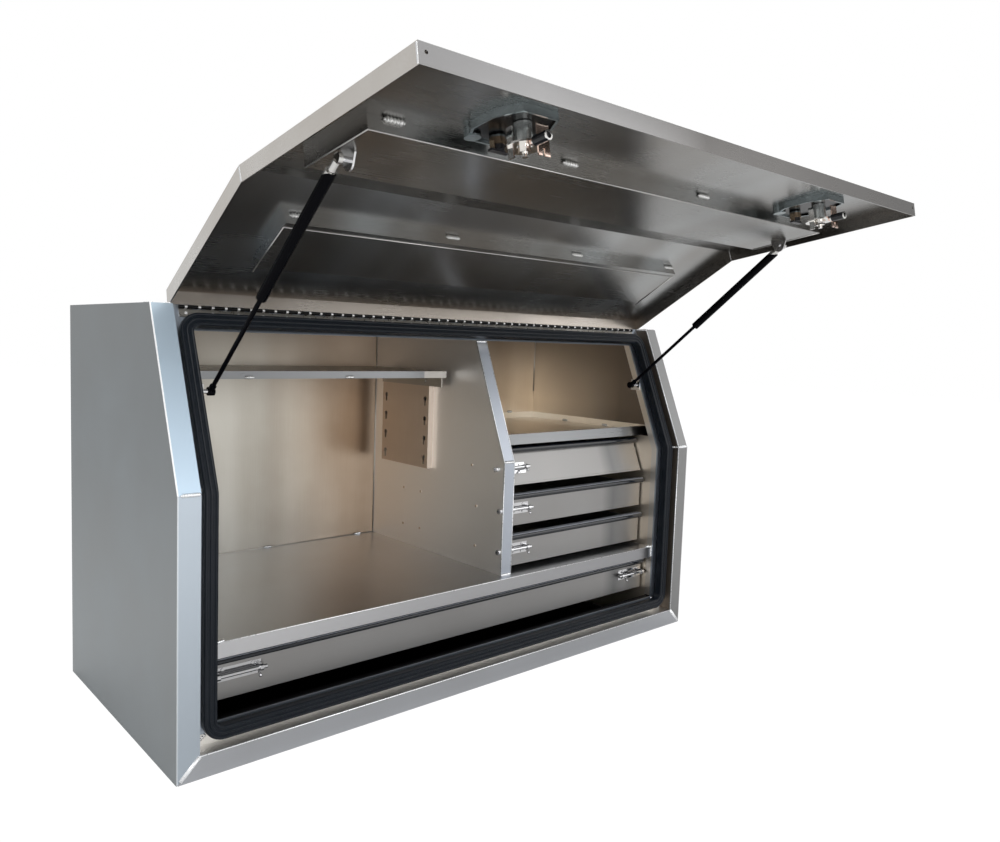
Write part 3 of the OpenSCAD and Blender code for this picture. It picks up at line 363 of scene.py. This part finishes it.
def beads(name, runs, width, finish, body, rippled=True, matrix=Matrix()):
    """A piece of welds or folded edges, moved by the matrix, on a body."""
    bm = bmesh.new()
    for start, end in runs:
        add_bead(bm, start, end, width, rippled)
    bm.transform(matrix)
    bmesh.ops.recalc_face_normals(bm, faces=bm.faces)
    for face in bm.faces:
        face.smooth = True
    mesh = bpy.data.meshes.new(name)
    bm.to_mesh(mesh)
    bm.free()
    mesh.materials.append(finish.material)
    piece = bpy.data.objects.new(name, mesh)
    bpy.context.scene.collection.objects.link(piece)
    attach(piece, body)


weld = weld_finish("weld", (0.80, 0.81, 0.82), 0.26)
flange_in, jamb_in = half_w - flange_w, half_w - jamb_w
bead_in, edge_set, foot_run = 0.0045, 0.003, 0.05
side_in, edge_in = half_w - bead_in, flange_in + edge_set
channel_y, jamb_y = front_y + channel_d + 0.0015, front_y + channel_d + 0.002
crest_z, crest_y, crest_back = body_h - 0.002, front_at(0, body_h), front_at(channel_d, body_h)
runs = mirrored(
    ((edge_in, front_y, flange_w - edge_set), (edge_in, channel_y, flange_w - edge_set)),
    ((side_in, front_y, knee_h), (flange_in, front_y, knee_h)),
    ((edge_in, front_y, knee_h), (edge_in, channel_y, knee_h - 0.004)),
    ((side_in, front_y, bead_in), (side_in, front_y + foot_run, bead_in)),
    ((flange_in, channel_y, flange_w), (jamb_in, jamb_y, sill_h)),
    ((flange_in - 0.010, channel_y, knee_h), (jamb_in + 0.024, channel_y, knee_h)),
    ((side_in, crest_y, crest_z), (side_in, crest_back, crest_z)),
    ((edge_in, crest_y, crest_z), (edge_in, crest_back, crest_z)))
beads("frame_welds", runs, 0.0085, weld, "cabinet")

# The folds and the smooth mitres share this near-white finish, a painted highlight.
folded = Finish("painted_edge_highlight", (0.92, 0.93, 0.94), 0.6, 0.30)
folded.set(Roughness=folded.grain(300.0, 4.0) * 0.3 + 0.15)
mitre_in, mitre_y = 0.006, front_y + 0.002
mitres = mirrored(((half_w - mitre_in, mitre_y, mitre_in), (flange_in, mitre_y, flange_w)))
beads("mitre_welds", mitres, 0.0095, folded, "cabinet", rippled=False)

# Folds of the frame: the flange's inner edge along the sill and up the right
# side, a thin rod painted near white as a painted highlight.

sill_ends = (-flange_in, front_y, flange_w), (flange_in, front_y, flange_w)
runs = chain(*sill_ends, (flange_in, front_y, knee_h), (flange_in, crest_y, body_h - 0.001))
beads("frame_folds", runs, 0.0024, folded, "cabinet", rippled=False)

# Door seal: one length of extruded rubber, pushed on the upstand in the
# channel. It is blue-black, with dust in places.

rubber_clean, rubber_dusty = (0.002, 0.004, 0.007), (0.009, 0.012, 0.017)
rubber = Finish("rubber", rubber_clean, 0.0, 0.36, Specular_IOR_Level=0.20)
dust = rubber.grain(60.0, 6.0)
rubber.set(Base_Color=rubber.blend(dust, rubber_clean, rubber_dusty), Roughness=(dust - 0.5) * 0.2 + 0.36)
dress(rubber, "door_seal")

# Compartment floor: bright inner sheet from side to side above the large
# drawer, with a lip folded down at its front.

floor_z = 0.214
floor_lip = 0.029
floor_set = 0.042
floor_grey, lip_left, lip_right = (0.48, 0.49, 0.51), (0.54, 0.54, 0.55), (0.30, 0.30, 0.31)

floor_sheet = sheet_finish("floor_sheet", floor_grey, 0.30, "X", contrast=0.16, blotch=0.03)
x, y, z = floor_sheet.axes()
# The lip is painted bright at the left and dark at the right, as painted light and shade.
lip = floor_sheet.blend(x + 0.5, lip_left, lip_right)
on_lip = behind(y, z, floor_set) < face_depth
floor_sheet.set(Base_Color=floor_sheet.blend(on_lip, floor_sheet.tone(floor_grey), lip))
dress(floor_sheet, "compartment_floor")

# Divider and runner panels: upright sheets beside the drawers, which carry
# their slides. The divider's front edge is folded over and welded.

divider_set = 0.066
divider_edge = 0.031
edge_depth = 0.003
past_divider = 0.2
divider_bright, runner_warm, divider_edge_grey = (0.98, 0.98, 0.98), (0.97, 0.86, 0.72), (0.40, 0.43, 0.48)

divider_sheet = sheet_finish("divider_sheet", divider_bright, 0.40, "Z", contrast=0.08, blotch=0.08)
x, y, z = divider_sheet.axes()
# The colours here are painted light: the divider's faces near white, the runner panels warm cream, and the
# divider's front edge face a darker blue-grey, a painted reflection.
runner = divider_sheet.tone(runner_warm)
colour = divider_sheet.blend(x > past_divider, divider_sheet.tone(divider_bright), runner)
on_edge = (behind(y, z, divider_set) < edge_depth) & (x < past_divider)
divider_sheet.set(Base_Color=divider_sheet.blend(on_edge, colour, divider_edge_grey))
dress(divider_sheet, "divider", "runner_panels")

# Keyhole plates, which carry the adjustable shelf, and the spacers that hold
# the small drawers' left slides off the divider: duller sheet, punched and
# folded.

plate_sheet = sheet_finish("plate_sheet", (0.68, 0.58, 0.49), 0.50, "Z", contrast=0.25, blotch=0.10)
dress(plate_sheet, "keyhole_plates", "slide_spacers")

# Shelves: the upper one is welded in on the right, with an upstand at its
# front. The adjustable one lies on the keyhole plates and is bolted to them.

shelf_front = 0.091
shelf_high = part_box("upper_shelf")[1]
board_low, board_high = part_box("adjustable_shelf")
shelf_warm, board_grey, shelf_lip_grey = (0.95, 0.89, 0.80), (0.42, 0.40, 0.37), (0.21, 0.215, 0.22)

shelf_sheet = sheet_finish("shelf_sheet", shelf_warm, 0.30, "X", contrast=0.10, blotch=0.08)
x, y, z = shelf_sheet.axes()
shelf_lip = (behind(y, z, shelf_front) < face_depth) & (x > 0.0)
board_lip = (y < board_low.y + edge_depth) & (x < 0.0)
# The shelves are painted as painted light: the upper one warm and bright, the adjustable one grey, and both
# front lips dark grey as painted shade.
colour = shelf_sheet.blend(x > divider_x, shelf_sheet.tone(board_grey), shelf_sheet.tone(shelf_warm))
shelf_sheet.set(Base_Color=shelf_sheet.blend(shelf_lip | board_lip, colour, shelf_lip_grey))
dress(shelf_sheet, "upper_shelf", "adjustable_shelf")

# Welds and folds inside: beads across the divider's folded edge and at the
# ends of the floor's lip, folds with a painted highlight along both, bright
# seams where sheets meet, and short tacks that hold the shelves and the floor.

divider_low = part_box("divider")[0].x
divider_in = divider_low + divider_edge
divider_top = 0.755
lip_low, lip_y = floor_z - floor_lip, front_y + floor_set
runs = []
for z in (floor_z + 0.001, knee_h - 0.010, divider_top):
    y = front_at(divider_set, z)
    runs.append(((divider_low, y, z), (divider_in, y, z)))
lip_x = jamb_in + 0.001
runs += mirrored(
    ((lip_x, lip_y, lip_low), (lip_x, lip_y, floor_z)),
    ((lip_x, lip_y, floor_z), (lip_x - 0.020, lip_y + 0.004, floor_z + 0.001)))
beads("inner_welds", runs, 0.0080, weld, "cabinet")

floor_left, floor_right = (corner.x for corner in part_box("compartment_floor"))
lip_short = 0.09
runs = [((floor_left + lip_short, lip_y, floor_z), (floor_right - lip_short, lip_y, floor_z))]
for x in (divider_low, divider_in):
    heights = (floor_z, knee_at(divider_set), divider_top)
    runs += chain(*((x, front_at(divider_set, z), z) for z in heights))
beads("inner_folds", runs, 0.0018, folded, "cabinet", rippled=False)

back_y = 0.2975
seam_y, seam_z = back_y - 0.001, floor_z + 0.0005
seam_x, right_seam_x = divider_low - 0.0005, half_w - 0.0035
seam = Finish("seam", (0.66, 0.64, 0.60), 0.8, 0.35)
runs = chain((floor_left + 0.004, seam_y, seam_z), (seam_x, seam_y, seam_z), (seam_x, seam_y, 0.78))
runs += chain((right_seam_x, seam_y, 0.60), (right_seam_x, seam_y, 0.79))
beads("inner_seams", runs, 0.0026, seam, "cabinet", rippled=False)


def tack_row(starts, y, z, length):
    """Tacks along X, one from each start."""
    return [((x, y, z), (x + length, y, z)) for x in starts]


tack_l = 0.022
tack_y = back_y - 0.003
tacks = tack_row((0.16, 0.30, 0.44, 0.58), tack_y, shelf_high.z - 0.001, tack_l)
side_tack_x, side_tack_z = half_w - 0.005, shelf_high.z - 0.018
for y in (-0.02, 0.14):
    tacks.append(((side_tack_x, y, side_tack_z), (side_tack_x, y + tack_l, side_tack_z)))
tacks += tack_row((-0.46, -0.22), board_low.y - 0.0005, board_high.z - 0.013, tack_l)
tacks += tack_row((-0.55, -0.25, 0.02), tack_y, floor_z + 0.002, tack_l)
beads("inner_tacks", tacks, 0.0080, weld, "cabinet")

# Piano hinge: two rolled leaves in bright steel round one pin, held by dome
# rivets at every second knuckle. The knuckles are painted dark as painted
# shade, with painted highlights at their ends.

hinge = next(joint for joint in frame["joints"] if joint["name"] == "lid_hinge")
pin = Vector(hinge["pos_m"])
knuckle_l = 0.025
knuckle_reach = 0.0036
leaf_steel, knuckle_shade, knuckle_highlight = (0.38, 0.36, 0.33), (0.02, 0.02, 0.02), (0.80, 0.80, 0.80)

hinge_metal = Finish("hinge_metal", leaf_steel, 1.0, 0.30)
x, y, z = hinge_metal.axes()
near_pin = (y - pin.y) * (y - pin.y) + (z - pin.z) * (z - pin.z) < knuckle_reach ** 2
from_middle = abs((x * (1 / knuckle_l) + 100.0).fraction() - 0.5)
# Each knuckle is painted dark in its middle as painted shade, and bright at its ends as a painted highlight.
knuckle = hinge_metal.blend(from_middle > 0.40, knuckle_shade, knuckle_highlight)
wear = hinge_metal.grain(120.0, 5.0)
hinge_metal.set(Base_Color=hinge_metal.blend(near_pin, leaf_steel, knuckle))
hinge_metal.set(Roughness=(wear - 0.5) * 0.25 + 0.30)
dress(hinge_metal, "body_hinge_leaf", "lid_hinge_leaf", "hinge_pin")
# The rivets are painted near white, a painted highlight.
rivet_highlight = Finish("rivet_highlight", (1.0, 1.0, 1.0), 0.2, 0.25)
dress(rivet_highlight, "body_rivets", "lid_rivets")

# Lid: one bent panel with folded rims, welded at the corners and at the knee.
# What is added to it is placed with the lid shut, and then swung open about
# the hinge pin, as the solids are.

opened = math.radians(-hinge["range_deg"][0])
swing = Matrix.Translation(pin) @ Matrix.Rotation(-opened, 4, "X") @ Matrix.Translation(-pin)
shut_shift = pin - Matrix.Rotation(opened, 4, "X") @ pin
lid_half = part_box("lid_panel")[1].x
lid_out = 0.004
lid_low_z = 0.043
rim_back = 0.031
rim_skin, outer_skin = 0.0004, 0.0005
inside_dark, inside_high, inside_hinge = (0.30, 0.295, 0.285), (0.36, 0.365, 0.365), (0.34, 0.30, 0.26)
outer_grey, end_rim_pale = (0.42, 0.43, 0.44), (0.76, 0.74, 0.71)
free_left, free_right = (0.48, 0.475, 0.475), (0.105, 0.100, 0.096)

lid_sheet = sheet_finish("lid_sheet", inside_dark, 0.26, "X", contrast=0.26, blotch=0.08, reflection_bands=0.8)
x, y, z = lid_sheet.axes(opened, shut_shift)
# The inner face is painted lighter higher up and warm near the hinge, as painted light, and carries soft
# stripes of painted reflection.
inner_face = lid_sheet.blend(z.rise(0.52, 8.0), lid_sheet.tone(inside_dark), lid_sheet.tone(inside_high))
inner_face = lid_sheet.blend(z.rise(0.755, 20.0), inner_face, inside_hinge)
outer_face = behind(y, z, lid_out) < outer_skin
colour = lid_sheet.blend(outer_face, inner_face, lid_sheet.tone(outer_grey))
colour = lid_sheet.blend(abs(x) > lid_half - rim_skin, colour, lid_sheet.tone(end_rim_pale))
# The free rim is painted pale at the left and dark towards the right, a painted reflection.
free_rim = lid_sheet.blend(x.rise(-0.47, 2.8), free_left, free_right)
lid_sheet.set(Base_Color=lid_sheet.blend(z < lid_low_z + rim_skin, colour, free_rim))
lid_sheet.set(Roughness=outer_face * 0.22 + lid_sheet.dull)
dress(lid_sheet, "lid_panel")

rim_x, rim_y, rim_z = lid_half - 0.0009, front_y + lid_out, lid_low_z + 0.0024
runs = mirrored(
    ((rim_x, rim_y, rim_z), (rim_x, front_y + rim_back, rim_z)),
    ((rim_x, rim_y, knee_h - 0.001), (rim_x, front_y + rim_back, knee_h - 0.006)))
beads("lid_rim_welds", runs, 0.0046, weld, "lid", matrix=swing)

# Stiffening pans: two folded trays of thinner sheet, face down on the inside
# of the lid. Short tacks hold their edges, their folds carry a painted
# highlight, and the sheet has soft stripes of painted reflection.

stiffener_grey = (0.262, 0.258, 0.248)
pan_sheet = sheet_finish("stiffener_sheet", stiffener_grey, 0.26, "X", contrast=0.26, blotch=0.06, reflection_bands=0.8)
dress(pan_sheet, "front_stiffener", "rear_stiffener")

pan_top = lid_out + 0.0245
front_pan_edge = 0.262


def on_pan(x, reach):
    """A point on a pan's face, a distance up or, below 0, down from the knee."""
    set_in = pan_top * math.tan(tilt / 2)
    if reach < 0:
        z = knee_h + reach
    else:
        z = knee_h - set_in + (reach + set_in) * math.cos(tilt)
    return (x, front_at(pan_top, z), z)


runs = []
for left, right, outer, inner in ((-0.602, 0.602, -front_pan_edge, -0.097), (-0.545, 0.522, 0.088, 0.218)):
    runs.append((on_pan(left, outer), on_pan(right, outer)))
    for x in (left, right):
        runs.append((on_pan(x, outer), on_pan(x, inner)))
# The fold lines are painted paler than the pans, a painted highlight.
lid_fold_highlight = Finish("lid_fold_highlight", (0.52, 0.51, 0.50), 1.0, 0.35)
beads("lid_folds", runs, 0.0020, lid_fold_highlight, "lid", rippled=False, matrix=swing)

pan_tack_l = 0.036
tack_depth = lid_out + 0.0062
front_tacks = [from_left - half_w for from_left in (0.122, 0.464, 0.833, 1.175)]
rear_tacks = [from_left - half_w for from_left in (0.165, 0.497, 0.853, 1.188)]
front_z, rear_z = knee_h - front_pan_edge - 0.002, knee_h + 0.085 * math.cos(tilt)
tacks = tack_row(front_tacks, front_y + tack_depth, front_z, pan_tack_l)
tacks += tack_row(rear_tacks, front_at(tack_depth, rear_z), rear_z, pan_tack_l)
tack_weld = weld_finish("tack_weld", (0.52, 0.52, 0.51), 0.30)
beads("stiffener_tacks", tacks, 0.0105, tack_weld, "lid", matrix=swing)

# Gas struts: a black painted cylinder and a black rod, with a steel ball end
# on the cylinder. They hang on chromed brackets on the jambs and on the lid.

ball_end_l = 0.028
strut_paint, ball_steel = (0.002, 0.002, 0.003), (0.66, 0.65, 0.63)
strut_black = Finish("strut_black", strut_paint, 0.0, 0.14, Specular_IOR_Level=0.03)
x, y, z = strut_black.axes()
ball_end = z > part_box("strut_cylinder_left")[1].z - ball_end_l
strut_black.set(Base_Color=strut_black.blend(ball_end, strut_paint, ball_steel), Metallic=ball_end)
dress(strut_black, "strut_cylinder_left", "strut_cylinder_right", "strut_rod_left", "strut_rod_right")

chrome = Finish("chrome", (0.74, 0.74, 0.75), 1.0, 0.14)
chrome.set(Roughness=chrome.grain(90.0, 4.0) * 0.16 + 0.06)
dress(chrome, "strut_brackets", "lid_strut_brackets")

# Lock dishes: die-cast and let into the lid, with the recess painted black
# as painted shade. The back carries the spindle's bright hub, and a boss
# with two brown spring strips.

lock_x, lock_z = half_w - 0.286, knee_h - 0.356
hub_r = 0.0145
dish_up = 0.021
recess_half_w, recess_half_h = 0.0495, 0.0545
recess_start, recess_end, hub_start, strip_start = 0.0085, 0.0135, 0.012, 0.016
cast_grey, recess_shade = (0.26, 0.30, 0.31), (0.004, 0.004, 0.005)
strip_brown, hub_grey = (0.30, 0.22, 0.15), (0.60, 0.63, 0.62)


def lock_axes(finish):
    """Distance out and up from the spindle, and in from the lid's outside."""
    x, y, z = finish.axes(opened, shut_shift)
    return abs(x) - lock_x, z - lock_z, y - (front_y + lid_out)


cast = Finish("lock_cast", cast_grey, 0.85, 0.26)
cast.bump(cast.grain(700.0), 0.15, 0.0003)
out, up, inward = lock_axes(cast)
beside, above = abs(out), abs(up - dish_up)
in_outline = (beside < recess_half_w) & (above < recess_half_h) & (beside * 34.0 + above * 20.0 < 2.165)
# The recess floor is painted black, as painted shade.
colour = cast.blend(in_outline & inward.between(recess_start, recess_end), cast_grey, recess_shade)
colour = cast.blend((inward > strip_start) & (up > 0.036), colour, strip_brown)
hub = (out * out + up * up < hub_r ** 2) & (inward > hub_start)
cast.set(Base_Color=cast.blend(hub, colour, hub_grey))
dress(cast, "lock_dish_left", "lock_dish_right")

# Lock works: a T handle, a plated disc with bent legs and a nut, all on one
# spindle, and a roller in a black sleeve. The key barrel is black too.

plated, plate_pink, sleeve_black = (0.92, 0.90, 0.87), (0.90, 0.68, 0.58), (0.010, 0.010, 0.012)
plate = Finish("lock_plate", plated, 1.0, 0.10)
out, up, inward = lock_axes(plate)
sleeve = up.between(-0.0525, -0.0285)
colour = plate.blend(up.between(-0.0255, -0.0215), plated, plate_pink)
plate.set(Base_Color=plate.blend(sleeve, colour, sleeve_black), Metallic=1.0 - sleeve)
dress(plate, "lock_cam_left", "lock_cam_right")

lever = Finish("lock_lever", (0.012, 0.012, 0.014), 0.0, 0.35)
dress(lever, "key_barrel_left", "key_barrel_right")

# Drawers: trays folded from thin bright sheet, with a dark stripe of painted
# reflection on their fronts. Each has a rubber pull pushed on its front's
# upper edge, and the pulls of the lower three have a painted highlight
# along the top.

dark_reflection_x = 0.50
drawer_grey, dark_reflection_grey = (0.285, 0.28, 0.275), (0.18, 0.18, 0.18)
drawer_sheet = sheet_finish("drawer_sheet", drawer_grey, 0.38, "X", contrast=0.10, blotch=0.08)
x, y, z = drawer_sheet.axes()
# A soft dark vertical stripe on the fronts is a painted reflection.
dark_reflection = 1.0 - abs(x - dark_reflection_x).rise(0.0, 22.0)
drawer_sheet.set(Base_Color=drawer_sheet.blend(dark_reflection, drawer_sheet.tone(drawer_grey), dark_reflection_grey))

pull_black, pull_highlight_grey = (0.004, 0.006, 0.010), (0.34, 0.36, 0.40)
pull_rubber = Finish("pull_rubber", pull_black, 0.0, 0.12, Specular_IOR_Level=0.5)
x, y, z = pull_rubber.axes()
pull_tops = [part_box(f"drawer_{n}_trim")[1].z for n in (2, 3, 4)]
# A thin painted highlight runs along the top of each of the lower three pulls.
highlight_line = sum(z.between(top - 0.0014, top + 0.0005) for top in pull_tops)
pull_rubber.set(Base_Color=pull_rubber.blend(highlight_line, pull_black, pull_highlight_grey))
for n in (1, 2, 3, 4):
    dress(drawer_sheet, f"drawer_{n}_tray")
    dress(pull_rubber, f"drawer_{n}_trim")

# Drawer slides: rolled steel channels that run in each other. The outermost
# ones are fixed, and each middle one follows its drawer half-way.

slide_steel = Finish("slide_steel", (0.50, 0.50, 0.50), 1.0, 0.32)
dress(slide_steel, "slide_rails", *(f"slide_middle_{n}" for n in (1, 2, 3, 4)))

# Tower bolts: a chromed body with staples on the drawers' fronts, and a bolt
# that slides in it into a keeper beside the drawer.

latch_chrome = Finish("latch_chrome", (0.57, 0.57, 0.58), 1.0, 0.10)
dress(latch_chrome, *(f"drawer_{n}_fittings" for n in (1, 2, 3, 4)))
dress(latch_chrome, *(f"latch_bolt_{n}" for n in ("1", "2", "3", "left", "right")))
dress(chrome, "bolt_keepers")

# Studio: a pale floor under the box, which is white to the camera, a white
# surround, and four soft lamps.

studio_paint = Finish("studio_floor", (0.93, 0.93, 0.93), 0.0, 0.9)
bpy.ops.mesh.primitive_plane_add(size=30, location=(0, 0, -0.0005))
studio_floor = bpy.context.object
studio_floor.name = "studio_floor"
studio_floor.data.materials.append(studio_paint.material)
seen = studio_paint.node("LightPath", output="Is Camera Ray")
painted = Value(studio_paint.surface.outputs[0])
white = studio_paint.node("Emission", Color=(1, 1, 1), Strength=1.04)
mixed = studio_paint.node("MixShader", sockets={0: seen, 1: painted, 2: white})
plug(studio_paint.nodes["Material Output"].inputs[0], mixed)

world = bpy.data.worlds.new("studio")
bpy.context.scene.world = world
surround = Tree(world)
seen = surround.node("LightPath", output="Is Camera Ray")
mirrored_light = surround.node("LightPath", output="Is Glossy Ray")
background = surround.nodes["Background"]
plug(background.inputs["Color"], (1, 1, 1))
plug(background.inputs["Strength"], seen * 0.45 + mirrored_light * 0.15 + 0.55)


def lamp(name, place, aim, size, watts):
    data = bpy.data.lights.new(name, "AREA")
    data.size = size
    data.energy = watts
    obj = bpy.data.objects.new(name, data)
    bpy.context.scene.collection.objects.link(obj)
    obj.location = place
    obj.rotation_euler = (Vector(aim) - Vector(place)).to_track_quat("-Z", "Y").to_euler()


middle = (0, 0, 0.45)
lamp("key", (-2.6, -3.2, 3.4), middle, 2.2, 70)
lamp("fill", (2.8, -3.4, 1.6), middle, 2.5, 35)
lamp("overhead", (0.2, 0.6, 3.6), middle, 2.5, 45)
lamp("inner", (-0.6, -2.6, 0.7), (0.3, 0.0, 0.6), 1.4, 14)

# Camera, where the photograph was taken from: left of the box and a little
# below its top. Its lens and shift come from a fit to the box's corners.

camera_data = bpy.data.cameras.new("camera")
camera = bpy.data.objects.new("camera", camera_data)
bpy.context.scene.collection.objects.link(camera)
bpy.context.scene.camera = camera
image_w, image_h = 1000, 842
focal_px = 825.3
centre_x_px, centre_y_px = 476.9, 409.4
camera_data.sensor_width = 36.0
camera_data.lens = focal_px / image_w * camera_data.sensor_width
camera_data.shift_x = (image_w / 2 - centre_x_px) / image_w
camera_data.shift_y = (centre_y_px - image_h / 2) / image_w
camera_place = (-1.2036, -1.6049, 0.7544)
yaw, pitch, roll = math.radians(41.1), math.radians(-4.7), math.radians(1.9)
forward = Vector((math.sin(yaw) * math.cos(pitch), math.cos(yaw) * math.cos(pitch), math.sin(pitch)))
level = Vector((math.cos(yaw), -math.sin(yaw), 0))
upright = level.cross(forward)
image_right = math.cos(roll) * level + math.sin(roll) * upright
image_up = math.cos(roll) * upright - math.sin(roll) * level
camera_turn = Matrix((image_right, image_up, -forward)).transposed().to_4x4()
camera.matrix_world = Matrix.Translation(camera_place) @ camera_turn

bpy.context.scene.view_settings.view_transform = "Standard"
